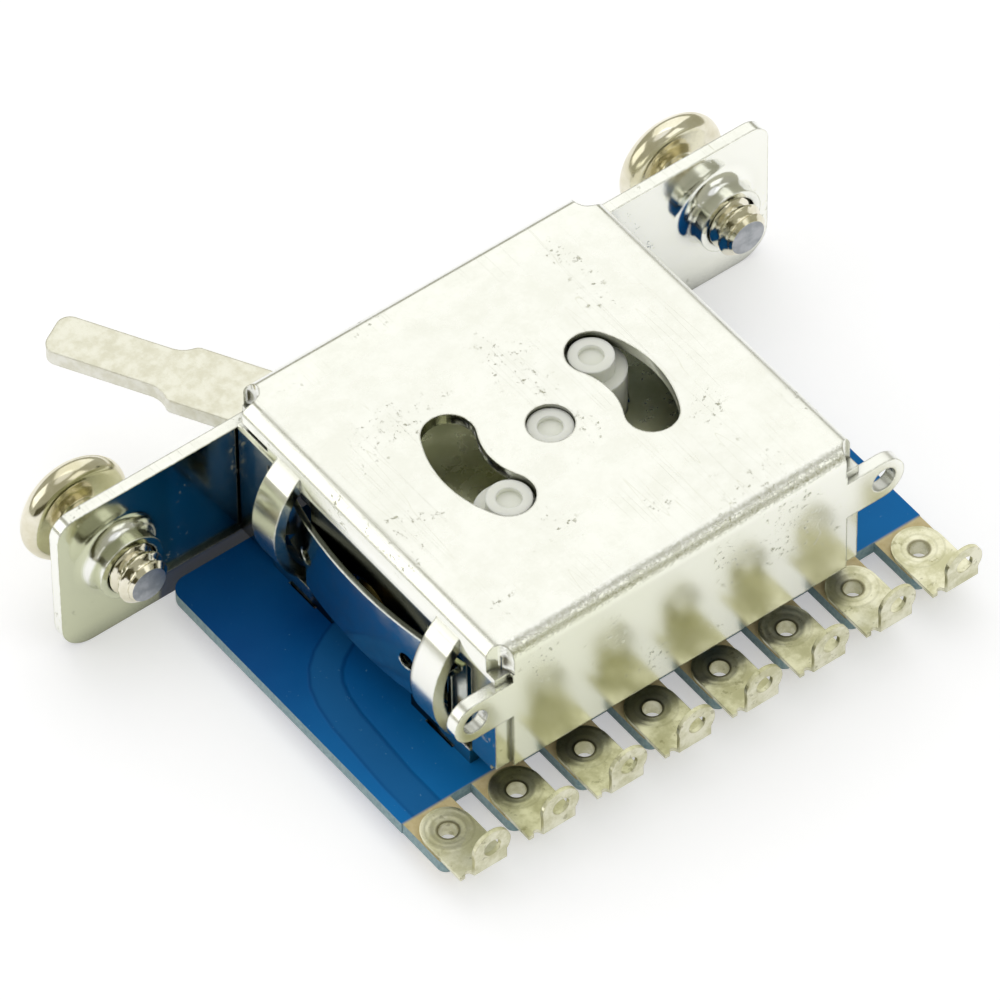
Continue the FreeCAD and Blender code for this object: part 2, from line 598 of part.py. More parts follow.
lever = rounded("lever_shoulders", lever_cut, "shoulder_round",
                lambda edge: upright(edge) and abs(edge.Vertexes[0].Y - float(sheet.get("lever_neck"))) < 0.6
                and abs(edge.Vertexes[0].X) > float(sheet.get("lever_wide")) / 2 - 0.1)
finish(lever, "lever", turned=True)


# Wipers: a thin spring plate under the carrier with two sprung fingers that sweep the board.
def wiper(label, sign):
    parts = [block(label + "_plate", (f"{sign}wiper_place - wiper_half", f"{sign}wiper_place + wiper_half"),
                   ("-wiper_deep", "wiper_deep"), ("bar_low - wiper_thick", "bar_low"))]
    for place, offset in (("inner", "- wiper_apart"), ("outer", "+ wiper_apart")):
        name = f"{label}_{place}"
        arm_box = block(name + "_arm", ("-wiper_apart / 2.4", "wiper_apart / 2.4"), ("0", "wiper_finger"),
                        ("0", "wiper_thick"))
        bind(arm_box, "Placement.Base.x", f"{sign}wiper_place {offset} - wiper_apart / 2.4")
        bind(arm_box, "Placement.Base.y", "wiper_deep - 0.2")
        bind(arm_box, "Placement.Base.z", "bar_low - wiper_thick")
        arm_box.Placement.Rotation = FreeCAD.Rotation(FreeCAD.Vector(1, 0, 0), -18)
        parts.append(arm_box)
    solid = join(label + "_solid", parts)
    finish(solid, label, turned=True)


wiper("wiper_left", "-")
wiper("wiper_right", "")


# Detents: a ball in each side wall, pressed towards the disc by a bowed leaf spring.
def detent(side, sign):
    """One side's ball, in the hole of the wall, and the bowed spring that the straps hold over it."""
    apex = "(case_half + bow_out)"
    name = side + "_detent"
    ball = doc.addObject("Part::Sphere", name + "_ball")
    bind(ball, "Radius", f"{ball_radius}")
    put(ball, f"{sign}({apex} - spring_thick - ball_gap - {ball_radius})", "-pivot_depth",
        "ball_rise - screw_rise")
    ball.Label = "detent_ball_" + side
    nodes.append(ball)
    band = cut(name + "_band", rod(name + "_band_out", "spring_radius", "spring_high - spring_low",
                                   f"-{apex} + spring_radius", "0", "spring_low"),
               [rod(name + "_band_in", "spring_radius - spring_thick", "20", f"-{apex} + spring_radius",
                    "0", "-2")])
    limit = block(name + "_limit", ("-case_half - 3", "-case_half + 3"), ("-spring_half", "spring_half"),
                  ("0", "10"))
    leaf = common(name + "_leaf", [band, limit])
    trims = []
    for place, low, high in (("front", "-spring_half - 1", "-5.3"), ("back", "5.3", "spring_half + 1")):
        trims.append(block(f"{name}_trim_{place}", ("-case_half - 3", "-case_half + 3"), (low, high),
                           ("0", "spring_low + 1.5")))
    for place, spot in (("front", "eye_shift - eye_place"), ("back", "eye_shift + eye_place")):
        trims.append(rod(f"{name}_eye_{place}", "spring_eye", "4", "-case_half - 2", spot, "ball_rise",
                         RIGHTWARD))
    trimmed = cut(name + "_trimmed", leaf, trims)
    toes = []
    for place, low, high in (("front", "-spring_half", "-spring_half + spring_thick"),
                             ("back", "spring_half - spring_thick", "spring_half")):
        toes.append(block(f"{name}_toe_{place}", ("-case_half - 0.5", "-case_half + 0.45"), (low, high),
                          ("spring_low + 1.6", "spring_high - 0.3")))
    spring = join(name + "_spring", [trimmed] + toes)
    if sign == "":
        spring = mirror(name + "_spring_right", spring)
    finish(spring, "leaf_spring_" + side)


for side, sign in (("left", "-"), ("right", "")):
    detent(side, sign)


# Mounting screws: round heads standing clear of the plate, shanks in the drawn collars.
def wing(name, middle, angle):
    """One tapered slot of the cross in a screw's head."""
    item = doc.addObject("Part::Wedge", name)
    half = "recess_wide / 2"
    limits = (("Xmin", "-recess_reach / 2"), ("Xmax", "recess_reach / 2"), ("X2min", "-recess_reach * 1.2"),
              ("X2max", "recess_reach * 1.2"), ("Zmin", f"-{half} * 0.8"), ("Zmax", f"{half} * 0.8"),
              ("Z2min", f"-{half} * 1.1"), ("Z2max", f"{half} * 1.1"), ("Ymin", "0"),
              ("Ymax", "cross_deep + 0.5"))
    for prop, text in limits:
        bind(item, prop, text)
    return put(item, middle, "head_gap + head_high - cross_deep", "0",
               FreeCAD.Rotation(FreeCAD.Vector(0, 1, 0), angle))


def screw(side, sign):
    name = side + "_screw"
    body = doc.addObject("PartDesign::Body", name)
    plane = next(f for f in body.Origin.OriginFeatures if f.Role == "YZ_Plane")
    sketch = body.newObject("Sketcher::SketchObject", name + "_profile")
    sketch.AttachmentSupport = [(plane, "")]
    sketch.MapMode = "FlatFace"
    points = [
        ("-sheet_thick - screw_end", "0"),
        ("-sheet_thick - screw_end", "thread_radius - 0.45"),
        ("-sheet_thick - screw_end + 0.45", "thread_radius"),
        ("head_gap", "thread_radius"),
        ("head_gap", "head_flat"),
        ("head_gap + 0.35", "head_radius - 0.15"),
        ("head_gap + 0.8", "head_radius"),
        ("head_gap + 1.3", "head_radius - 0.25"),
        ("head_gap + 1.9", "head_radius - 1.1"),
        ("head_gap + 2.3", "head_radius - 2.3"),
        ("head_gap + head_high", "0"),
    ]
    value = {alias: number for alias, number, note in cells}
    spots = [FreeCAD.Vector(worked_out(a, value), worked_out(b, value), 0) for a, b in points]
    for number, spot in enumerate(spots):
        sketch.addGeometry(Part.LineSegment(spot, spots[(number + 1) % len(spots)]))
    for number in range(len(spots)):
        sketch.addConstraint(Sketcher.Constraint("Coincident", number, 2, (number + 1) % len(spots), 1))
    for number, (a, b) in enumerate(points):
        for kind, text, amount in (("DistanceX", a, spots[number].x), ("DistanceY", b, spots[number].y)):
            index = sketch.addConstraint(Sketcher.Constraint(kind, -1, 1, number, 1, amount))
            sketch.setExpression(f"Constraints[{index}]", size(text))
    turn = body.newObject("PartDesign::Revolution", name + "_turned")
    turn.Profile = sketch
    turn.ReferenceAxis = (sketch, ["H_Axis"])
    turn.Angle = 360
    bind(body, "Placement.Base.x", f"{sign}screw_half")
    cross = []
    for place, turned in (("flat", 0), ("upright", 90)):
        cross.append(wing(f"{name}_{place}", f"{sign}screw_half", turned))
    head = cut(name + "_crossed", body, cross)
    head.Label = "mounting_screw_" + side
    nodes.append(head)


def worked_out(text, value):
    """Works out a sum of table words and numbers, for a sketch's first position."""
    total = 0.0
    sign = 1
    for word in str(text).replace("-", " - ").replace("+", " + ").split():
        if word in "+-":
            sign = 1 if word == "+" else -1
            continue
        total += sign * (value[word] if word in value else float(word))
        sign = 1
    return total


screw("left", "-")
screw("right", "")

doc.recompute()

# Every object is checked before anything is written.
for item in doc.Objects:
    if "Invalid" in item.State or "Error" in item.State:
        raise RuntimeError(f"{item.Label} did not build: {item.State}")
os.makedirs("parts", exist_ok=True)
for item in nodes:
    shape = item.Shape
    if shape.isNull() or not shape.isValid():
        raise RuntimeError(f"{item.Label} has no valid shape")
    solids = shape.Solids
    if len(solids) != 1:
        raise RuntimeError(f"{item.Label} holds {len(solids)} solids")
    shape.exportStep(f"parts/{item.Label}.step")
    box = shape.BoundBox
    print(f"{item.Label:22s} {box.XLength:7.2f} {box.YLength:7.2f} {box.ZLength:7.2f} mm, low {box.ZMin:6.2f}")
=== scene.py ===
# %% [markdown]
# This notebook dresses a guitar's pickup selector switch. The solid parts come from a packed
# model, which stays where it is; every cell below adds a finish, a fine part or a light. All
# lengths are in metres, the origin lies on the mounting plate's outer face midway between the two
# screws, +Y is the outward normal of that face and +Z is up.

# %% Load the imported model
import math

import bpy
import numpy as np
from mathutils import Matrix, Vector


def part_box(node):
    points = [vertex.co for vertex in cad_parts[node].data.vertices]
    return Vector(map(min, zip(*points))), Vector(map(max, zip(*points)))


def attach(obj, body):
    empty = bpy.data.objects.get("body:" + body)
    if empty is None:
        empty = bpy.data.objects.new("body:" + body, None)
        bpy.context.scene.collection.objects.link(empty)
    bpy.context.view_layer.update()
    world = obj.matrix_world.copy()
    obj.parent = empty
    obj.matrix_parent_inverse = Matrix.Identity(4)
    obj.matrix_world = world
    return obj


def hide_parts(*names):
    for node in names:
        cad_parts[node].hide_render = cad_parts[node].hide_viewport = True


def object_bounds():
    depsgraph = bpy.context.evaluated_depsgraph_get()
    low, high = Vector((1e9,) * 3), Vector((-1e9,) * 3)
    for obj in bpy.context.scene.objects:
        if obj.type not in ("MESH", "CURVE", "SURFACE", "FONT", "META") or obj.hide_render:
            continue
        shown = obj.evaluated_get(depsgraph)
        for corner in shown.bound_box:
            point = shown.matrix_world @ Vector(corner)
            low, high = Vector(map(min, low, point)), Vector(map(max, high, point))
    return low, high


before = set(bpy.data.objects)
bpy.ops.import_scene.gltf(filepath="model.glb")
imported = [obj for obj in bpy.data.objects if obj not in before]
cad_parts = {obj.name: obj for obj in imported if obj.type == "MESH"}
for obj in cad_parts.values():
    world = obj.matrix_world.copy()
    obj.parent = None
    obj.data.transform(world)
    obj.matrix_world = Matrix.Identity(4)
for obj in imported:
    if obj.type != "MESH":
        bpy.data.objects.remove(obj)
cad_low, cad_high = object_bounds()
mm = 0.001
# the lever's axis, the outside of the case's front wall, and its top
pivot_y = -12.7 * mm
front_y = pivot_y - 11.57 * mm
top_z = cad_high.z
print("CAD box in mm", [round(v / mm, 2) for v in (*cad_low, *cad_high)])

# %% [markdown]
# The camera stands about 64 cm away with a very long lens, so the lines of the switch hardly
# converge. A long lens is how small hardware is photographed, because it shows the sizes truly.
# The camera is built from the point that it looks at, two angles and a small roll.

# %% Camera
view_azimuth = math.radians(-36.7201)
view_elevation = math.radians(49.2795)
view_roll = math.radians(0.8442)
view_distance = 638.469 * mm
view_aim = Vector((-0.7908, -9.1007, -2.2236)) * mm
lens_length = 419.34
nearest_seen = 0.05

ahead = Vector((-math.sin(view_azimuth) * math.cos(view_elevation),
                math.cos(view_azimuth) * math.cos(view_elevation),
                -math.sin(view_elevation)))
level = Vector((math.cos(view_azimuth), math.sin(view_azimuth), 0))
above = level.cross(ahead)
right = level * math.cos(view_roll) - above * math.sin(view_roll)
up = right.cross(ahead)

camera = bpy.data.objects.new("camera", bpy.data.cameras.new("camera"))
bpy.context.scene.collection.objects.link(camera)
camera.matrix_world = Matrix.Translation(view_aim - ahead * view_distance) @ Matrix(
    (right, up, -ahead)).transposed().to_4x4()
camera.data.lens = lens_length
camera.data.clip_start = nearest_seen
bpy.context.scene.camera = camera
bpy.context.scene.view_settings.view_transform = "Standard"
print("camera at", [round(v, 4) for v in camera.location])

# %% [markdown]
# A material is a small graph of nodes, and writing one by hand takes many lines. These helpers
# make it short: the first starts a material and gives its shader, the next adds one node and
# joins its inputs, and the rest are the few nodes that every finish here uses. Patterns read
# Object coordinates, so they stay fixed to the metal when the lever turns.

# %% Helpers that build a node graph


def material(name, **sockets):
    """A new material; every named value is set straight on the shader's own socket."""
    made = bpy.data.materials.new(name)
    made.use_nodes = True
    shader = made.node_tree.nodes["Principled BSDF"]
    for socket, value in sockets.items():
        shader.inputs[socket.replace("_", " ")].default_value = value
    return made, shader


def node(made, kind, inputs=(), **settings):
    """Adds a node, sets its properties, and joins or fills its inputs by name or number."""
    new = made.node_tree.nodes.new("ShaderNode" + kind)
    for key, value in settings.items():
        setattr(new, key, value)
    for key, value in dict(inputs).items():
        if isinstance(value, bpy.types.NodeSocket):
            made.node_tree.links.new(value, new.inputs[key])
        else:
            new.inputs[key].default_value = value
    return new


def join(made, start, end):
    """Joins an output to an input."""
    made.node_tree.links.new(start, end)


def place(made):
    """Where a point lies in its object's own coordinates."""
    return node(made, "TexCoord").outputs["Object"]


def faces(made):
    """Which way a face points, as three numbers. The true normal ignores every bump."""
    return node(made, "SeparateXYZ", {0: node(made, "NewGeometry").outputs["True Normal"]}).outputs


# %% [markdown]
# A mask is a number from 0 to 1 that says where a colour or a gloss belongs. Masks are made by
# smooth steps, because a hard step would show saw teeth in the picture, and two masks are
# combined by multiplying them.

# %% Helpers for masks, colours and relief


def maths(made, kind, *values):
    """One sum on numbers or sockets."""
    return node(made, "Math", dict(enumerate(values)), operation=kind).outputs[0]


def both(made, first, second):
    """The product of two masks: 1 only where both are 1."""
    return maths(made, "MULTIPLY", first, second)


def band(made, value, low, high, to_low=0.0, to_high=1.0):
    """A smooth step from one value to another between two limits."""
    return node(made, "MapRange", {"Value": value, "From Min": low, "From Max": high,
                                   "To Min": to_low, "To Max": to_high},
                interpolation_type="SMOOTHSTEP").outputs["Result"]


def fade(made, value, low, high):
    """1 below the low limit and 0 above the high one."""
    return band(made, value, low, high, 1.0, 0.0)


def noise(made, scale, detail=3.0, rough=0.6, at=None):
    """Cloudy noise; scale counts its patches per metre."""
    return node(made, "TexNoise", {"Vector": at or place(made), "Scale": scale, "Detail": detail,
                                   "Roughness": rough}).outputs["Fac"]


def mix(made, factor, first, second):
    """Two colours mixed; factor 0 gives the first."""
    return node(made, "Mix", {"Factor": factor, 6: first, 7: second}, data_type="RGBA").outputs[2]


def blend(made, factor, first, second):
    """Two numbers mixed; factor 0 gives the first."""
    return node(made, "Mix", {"Factor": factor, 2: first, 3: second}).outputs[0]


def stain(made, base, mask, strength, colour):
    """A colour laid over the base where the mask is, at the given strength."""
    return mix(made, both(made, mask, strength), base, colour)


def bump(made, height, depth, strength=1.0, under=None):
    """Relief of the given depth in metres."""
    inputs = {"Height": height, "Distance": depth, "Strength": strength}
    if under:
        inputs["Normal"] = under
    return node(made, "Bump", inputs).outputs["Normal"]


def rounded_edges(made, radius):
    """Shades sharp edges as if they were rounded, because sheared sheet metal always is."""
    return node(made, "Bevel", {"Radius": radius}, samples=4).outputs["Normal"]


def tint(red, green, blue):
    """A colour as seen on a screen, 0 to 255, given as the linear light that a shader wants."""
    linear = [((c / 255 + 0.055) / 1.055) ** 2.4 if c > 10 else c / 255 / 12.92
              for c in (red, green, blue)]
    return (*linear, 1.0)


def dress(names, made):
    """Gives CAD nodes a material; their meshes aren't touched."""
    for name in names:
        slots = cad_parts[name].data.materials
        slots.clear()
        slots.append(made)
    print("a finish of", len(made.node_tree.nodes), "nodes on", ", ".join(names))


# %% [markdown]
# The case is pressed from bright plated steel. Sheared and folded sheet shows its history: small
# dark specks sit where the plating is thin, a few hair scratches cross the top, and the grain of
# the metal breaks through along every fold and cut edge. A painted image could carry all that,
# but masks worked out from the shape follow it when a size changes. The mask for the edges is
# found by a trick: the Bevel node bends the shading normal near an edge, so the angle between it
# and the true normal is zero on flat metal and large at an edge.

# %% Plated steel: masks of its faces, edges and wear


def edge_mask(made, radius, low, high):
    """1 at a fold or cut edge, 0 on flat metal, from how far the Bevel node bends the normal."""
    soft = rounded_edges(made, radius)
    true = node(made, "NewGeometry").outputs["True Normal"]
    alike = node(made, "VectorMath", {0: soft, 1: true}, operation="DOT_PRODUCT").outputs["Value"]
    return band(made, alike, high, low)


def scratches(made, at, turn, scale, width):
    """Hair lines: the level line of a noise that is stretched along one direction."""
    stretched = node(made, "Mapping", {"Vector": at, "Rotation": (0, 0, math.radians(turn)),
                                       "Scale": (1, 0.035, 1)}).outputs["Vector"]
    height = maths(made, "SUBTRACT", noise(made, scale, 1, 0.4, stretched), 0.5)
    return fade(made, maths(made, "ABSOLUTE", height), 0.0, width)


steel, shader = material("plated_steel", Metallic=1.0)
at = place(steel)
axis = node(steel, "SeparateXYZ", {0: at}).outputs
facing = faces(steel)
cloud = noise(steel, 260, 4, 0.6, at)
grain = noise(steel, 5200, 2, 0.7, at)

on_top = band(steel, facing["Z"], 0.5, 0.9)
on_side = band(steel, maths(steel, "ABSOLUTE", facing["X"]), 0.5, 0.8)
on_plate = band(steel, axis["Y"], -2.6 * mm, -2.2 * mm)
on_ear = fade(steel, axis["X"], -17.5 * mm, -16.5 * mm)
rightward = band(steel, axis["X"], -17 * mm, 18 * mm)

specks = both(steel, band(steel, noise(steel, 2300, 4, 0.75, at), 0.58, 0.7),
              band(steel, noise(steel, 230, 2, 0.5, at), 0.54, 0.64))
front_fold = both(steel, fade(steel, axis["Y"], front_y + 0.5 * mm, front_y + 1.0 * mm),
                  band(steel, axis["Z"], top_z - 0.9 * mm, top_z - 0.5 * mm))
crackle = both(steel, front_fold, band(steel, noise(steel, 4200, 4, 0.8, at), 0.47, 0.55))
crackle = both(steel, crackle, 0.5)
broken = band(steel, noise(steel, 2600, 3, 0.75, at), 0.43, 0.55)
bent = edge_mask(steel, 0.22 * mm, 0.7, 0.99)
edges = maths(steel, "MAXIMUM", both(steel, bent, broken), crackle)
lines = maths(steel, "MAXIMUM", scratches(steel, at, 20, 900, 0.0022),
              scratches(steel, at, 74, 700, 0.002))
lines = both(steel, both(steel, lines, band(steel, noise(steel, 120, 2, 0.5, at), 0.46, 0.56)),
             on_top)
print("steel masks take", len(steel.node_tree.nodes), "nodes")

# %% [markdown]
# The rubbed top is pale and the walls keep the olive cast of the plating. The walls are painted
# darker at the left and on the left ear and paler at the right and on the side walls, which is
# painted shade and painted light. Over that lie the marks of wear, a painted shade on the side
# walls behind the springs, and painted shade in inner corners, which an Ambient Occlusion node
# finds. Last comes the foot of the mounting plate, painted the board's blue as a painted reflection
# of the board and painted shade under its edge, so the mask also takes the Metallic value down.

# %% Plated steel: colours
# The olive plating tone is painted darker at the left and on the left ear, and paler at the right
# and on the side walls: painted shade and painted light.
left_plating_and_shade = mix(steel, cloud, tint(222, 224, 196), tint(240, 242, 224))
left_plating_and_shade = mix(steel, on_ear, left_plating_and_shade, tint(206, 209, 180))
right_plating_and_light = mix(steel, cloud, tint(246, 247, 236), tint(252, 252, 246))
side_plating_and_light = mix(steel, cloud, tint(242, 243, 234), tint(252, 252, 248))
rubbed = mix(steel, band(steel, noise(steel, 520, 4, 0.7, at), 0.3, 0.7),
             tint(229, 230, 226), tint(237, 238, 236))
walls = mix(steel, on_side, mix(steel, rightward, left_plating_and_shade, right_plating_and_light), side_plating_and_light)
base = mix(steel, on_top, walls, rubbed)
base = stain(steel, base, lines, 0.3, tint(190, 190, 166))
base = stain(steel, base, specks, 0.6, tint(142, 142, 104))
base = stain(steel, base, edges, 0.55, tint(160, 160, 124))

# A dark olive patch is painted on the side walls behind the leaf springs: painted shade.
shade_top = top_z - 2.6 * mm
shade_half = 5.5 * mm
from_middle = maths(steel, "ABSOLUTE", maths(steel, "SUBTRACT", axis["Y"], pivot_y - 0.4 * mm))
painted_shade_behind_spring = both(steel, on_side, fade(steel, axis["Z"], shade_top, shade_top + 0.25 * mm))
painted_shade_behind_spring = both(steel, painted_shade_behind_spring, fade(steel, from_middle, shade_half, shade_half + 0.5 * mm))
base = mix(steel, painted_shade_behind_spring, base, tint(50, 52, 36))

# Painted shade: the Ambient Occlusion node darkens inner corners and gaps towards a dark olive.
openness = node(steel, "AmbientOcclusion", {"Distance": 3 * mm}, samples=6).outputs["AO"]
base = mix(steel, band(steel, openness, 0.2, 0.8), tint(46, 50, 40), base)

# The plate's inner face below the board's top is painted the board's blue, with its Metallic value
# taken down: a painted reflection of the board and painted shade under its edge.
foot_top = -4.2 * mm
foot_half = 17.7 * mm
across = maths(steel, "ABSOLUTE", axis["X"])
painted_board_reflection = both(steel, on_plate, fade(steel, axis["Z"], foot_top, foot_top + 0.2 * mm))
painted_board_reflection = both(steel, painted_board_reflection, fade(steel, across, foot_half, foot_half + 0.4 * mm))
painted_board_reflection = both(steel, painted_board_reflection, fade(steel, facing["Y"], -0.8, -0.5))
base = mix(steel, painted_board_reflection, base, tint(8, 46, 80))
join(steel, maths(steel, "SUBTRACT", 1.0, painted_board_reflection), shader.inputs["Metallic"])
join(steel, base, shader.inputs["Base Color"])

# %% [markdown]
# Roughness sets how blurred a mirror the metal is: the plate is the brightest, the walls come
# next, and the handled top is satin. The relief is shaded only, since all of it is finer than a
# hair, apart from the soft roll of the sheet below the top's side edges, which the press leaves
# wider than the fold itself. The broken grain of the edges takes its strength, and not its height,
# from the edge mask: a Bump node works its height out three times at every point, and the Bevel
# node behind that mask is slow.

# %% Plated steel: gloss and relief
plate_gloss = band(steel, cloud, 0.3, 0.7, 0.1, 0.18)
wall_gloss = band(steel, cloud, 0.3, 0.7, 0.16, 0.24)
satin = band(steel, cloud, 0.3, 0.7, 0.24, 0.32)
gloss = blend(steel, on_plate, blend(steel, on_top, wall_gloss, satin), plate_gloss)
join(steel, gloss, shader.inputs["Roughness"])

roll = both(steel, on_side, fade(steel, axis["Z"], top_z - 2.5 * mm, top_z))
relief = bump(steel, roll, 0.9 * mm, 1.0, rounded_edges(steel, 0.14 * mm))
relief = bump(steel, grain, 0.004 * mm, 0.5, relief)
relief = bump(steel, lines, -0.006 * mm, 0.5, relief)
relief = bump(steel, maths(steel, "MAXIMUM", specks, crackle), -0.02 * mm, 0.9, relief)
relief = bump(steel, broken, -0.02 * mm, both(steel, bent, 0.9), relief)
join(steel, relief, shader.inputs["Normal"])
dress(["housing"], steel)

# %% [markdown]
# Small parts take plainer finishes: nickel for the screws, a mottled nickel for the lever, a
# bright polish for the leaf springs, brass for the balls, bronze for the wipers and dull steel
# for the plates of the rotor. One function makes them all, because each is a metal whose tone
# drifts between two colours and whose surface has a fine grain; only the scale and the gloss
# differ.

# %% Finishes of the screws, lever, springs, balls and rotor plates


def plain_metal(name, light, dark, scale, rough, grain_depth, edge=0.06 * mm):
    """A metal whose colour drifts between two tones, with a grain nine times finer.

    Scale counts the drifts per metre, rough holds the least and the greatest roughness, and edge
    is the radius that sharp edges seem to have."""
    made, shader = material(name, Metallic=1.0)
    at = place(made)
    cloud = noise(made, scale, 4, 0.65, at)
    join(made, mix(made, band(made, cloud, 0.35, 0.65), dark, light), shader.inputs["Base Color"])
    join(made, band(made, cloud, 0.3, 0.7, rough[1], rough[0]), shader.inputs["Roughness"])
    fine = noise(made, scale * 9, 3, 0.6, at)
    grained = bump(made, fine, grain_depth, 0.6, rounded_edges(made, edge))
    join(made, grained, shader.inputs["Normal"])
    return made


screw_metal = plain_metal("screw_nickel", tint(236, 232, 216), tint(216, 210, 184), 300,
                          (0.1, 0.18), 0.003 * mm)
cut_metal = plain_metal("screw_cut_end", tint(176, 178, 182), tint(150, 154, 158), 900,
                        (0.3, 0.4), 0.01 * mm)
lever_metal = plain_metal("lever_steel", tint(228, 227, 217), tint(219, 217, 202), 1400,
                          (0.32, 0.46), 0.022 * mm, 0.14 * mm)
spring_metal = plain_metal("spring_steel", tint(236, 240, 236), tint(218, 224, 220), 900,
                           (0.09, 0.16), 0.002 * mm, 0.14 * mm)
brass = plain_metal("ball_brass", tint(246, 220, 150), tint(228, 196, 116), 500,
                    (0.3, 0.4), 0.002 * mm)
bronze = plain_metal("wiper_bronze", tint(196, 150, 98), tint(158, 112, 66), 500,
                     (0.2, 0.3), 0.002 * mm)
dull_steel = plain_metal("disc_steel", tint(250, 251, 220), tint(236, 238, 200), 500,
                         (0.24, 0.34), 0.004 * mm)
dress(["lever"], lever_metal)
dress(["leaf_spring_left", "leaf_spring_right"], spring_metal)
dress(["detent_ball_left", "detent_ball_right"], brass)
dress(["wiper_left", "wiper_right"], bronze)
dress(["detent_disc", "cover_plate"], dull_steel)

# %% [markdown]
# The solder lugs are stamped from nickel-plated strip. Each carries a dished eyelet, and the punch
# leaves fine rings round it. The rings are drawn once for all eight lugs: dividing a place's X by
# the pitch and keeping the fraction brings every lug onto the same small map. The dish is so
# shallow that the eye sees it as part of the flat, so its shading normal is eased upwards.

# %% Nickel lugs: the eyelet's map
lug_pitch = 4.63 * mm
eyelet_y = pivot_y - 11.96 * mm
ring_spacing = 0.44 * mm
ring_reach = 1.5 * mm
rim_reach = 0.62 * mm

nickel, shader = material("nickel_lug", Metallic=1.0)
at = place(nickel)
axis = node(nickel, "SeparateXYZ", {0: at}).outputs
share = maths(nickel, "FRACT", maths(nickel, "MULTIPLY_ADD", axis["X"], 1 / lug_pitch, 20.0))
local_x = both(nickel, maths(nickel, "SUBTRACT", share, 0.5), lug_pitch)
local_y = maths(nickel, "SUBTRACT", axis["Y"], eyelet_y)
reach = maths(nickel, "SQRT", maths(nickel, "ADD", both(nickel, local_x, local_x),
                                    both(nickel, local_y, local_y)))
on_lug = band(nickel, faces(nickel)["Z"], 0.3, 0.5)
ring_wave = maths(nickel, "SINE", both(nickel, reach, 2 * math.pi / ring_spacing))
ring_wave = both(nickel, ring_wave, fade(nickel, reach, ring_reach, ring_reach + 0.25 * mm))
ring_wave = both(nickel, ring_wave, on_lug)
rim = band(nickel, reach, rim_reach, rim_reach + 0.12 * mm, 0.75, 0.0)
print("eyelet rings every", round(ring_spacing / mm, 2), "mm, lugs every", round(lug_pitch / mm, 2))

# %% Nickel lugs: colour and relief
cloud = noise(nickel, 700, 4, 0.7, at)
base = mix(nickel, band(nickel, cloud, 0.35, 0.65), tint(198, 196, 162), tint(228, 226, 204))
base = mix(nickel, band(nickel, ring_wave, 0.3, 1.0, 0.0, 0.22), base, tint(150, 148, 116))
base = stain(nickel, base, rim, on_lug, tint(96, 90, 62))
stains = band(nickel, noise(nickel, 1500, 3, 0.7, at), 0.6, 0.68)
base = stain(nickel, base, stains, 0.5, tint(138, 134, 98))
join(nickel, base, shader.inputs["Base Color"])
join(nickel, band(nickel, cloud, 0.3, 0.7, 0.42, 0.28), shader.inputs["Roughness"])
soft = rounded_edges(nickel, 0.1 * mm)
eased = node(nickel, "Mix", {"Factor": both(nickel, on_lug, 0.7), 4: soft, 5: (0, 0, 1)},
             data_type="VECTOR").outputs[1]
eased = node(nickel, "VectorMath", {0: eased}, operation="NORMALIZE").outputs["Vector"]
relief = bump(nickel, ring_wave, 0.01 * mm, 0.3, eased)
join(nickel, bump(nickel, cloud, 0.02 * mm, 0.6, relief), shader.inputs["Normal"])
dress([f"terminal_{n}" for n in range(1, 9)], nickel)

# %% [markdown]
# A machine screw is a surface of revolution with two changes: a helical groove round the shank and
# a cross pressed into the head. So the whole screw is one grid. One parameter runs along its
# outline from the cut end to the top of the head, the other once round the axis, and whole arrays
# give every point at once. Blender's Screw modifier could turn a thread too, but it would leave
# the shank, the head and the cross as separate shells to be joined.

# %% Mounting screws: sizes
turns = 168
shank_steps = 100
thread_pitch = 0.79 * mm
thread_radius = 1.6 * mm
thread_depth = 0.36 * mm
flank_slope = 1.5
crest_share = 0.25
end_radius = 1.12 * mm
neck_flare = 0.4 * mm
head_high = 2.4 * mm
head_flat = 2.75 * mm
rim_high = 0.8 * mm
cross_reach = 1.79 * mm
cross_foot = 0.875 * mm
cross_half = 0.42 * mm
cross_deep = 1.5 * mm
cross_soft = 0.04 * mm
sharp_angle = math.radians(38)
print("thread", round(2 * thread_radius / mm, 2), "mm across, pitch", round(thread_pitch / mm, 2))

# %% Mounting screws: a closed mesh from a grid


def closed_mesh(name, points):
    """A mesh from a grid that is closed round its second index and drawn to a point at both ends.

    The first and last rows each become one point. Every other point is joined to the next in its
    row, which wraps round, and to the one in the row after."""
    rows, columns = points.shape[:2]
    verts = np.vstack([points[0, :1], points[1:-1].reshape(-1, 3), points[-1, :1]])
    row = np.arange(rows - 3)[:, None] * columns
    column = np.arange(columns)[None, :]
    after = (column + 1) % columns
    quads = np.stack([1 + row + column, 1 + row + columns + column, 1 + row + columns + after,
                      1 + row + after], axis=-1).reshape(-1, 4)
    last = len(verts) - 1
    edge = last - columns
    foot = np.stack([0 * column, 1 + column, 1 + after], axis=-1).reshape(-1, 3)
    top = np.stack([edge + column, last + 0 * column, edge + after], axis=-1).reshape(-1, 3)
    mesh = bpy.data.meshes.new(name)
    mesh.from_pydata(verts.tolist(), [], quads.tolist() + foot.tolist() + top.tolist())
    mesh.polygons.foreach_set("use_smooth", np.ones(len(mesh.polygons), bool))
    mesh.set_sharp_from_angle(angle=sharp_angle)
    made = bpy.data.objects.new(name, mesh)
    bpy.context.scene.collection.objects.link(made)
    return made


# %% Mounting screws: the grid's points


def cross_arm(length, width):
    """How deep one arm of the cross goes: full near the axis, rising to nothing at its end, with
    steep walls at half its width."""
    reach = np.clip((cross_reach - np.abs(length)) / (cross_reach - cross_foot), 0, 1)
    return cross_deep * reach * np.clip((cross_half + cross_soft - np.abs(width))
                                        / (2 * cross_soft), 0, 1)


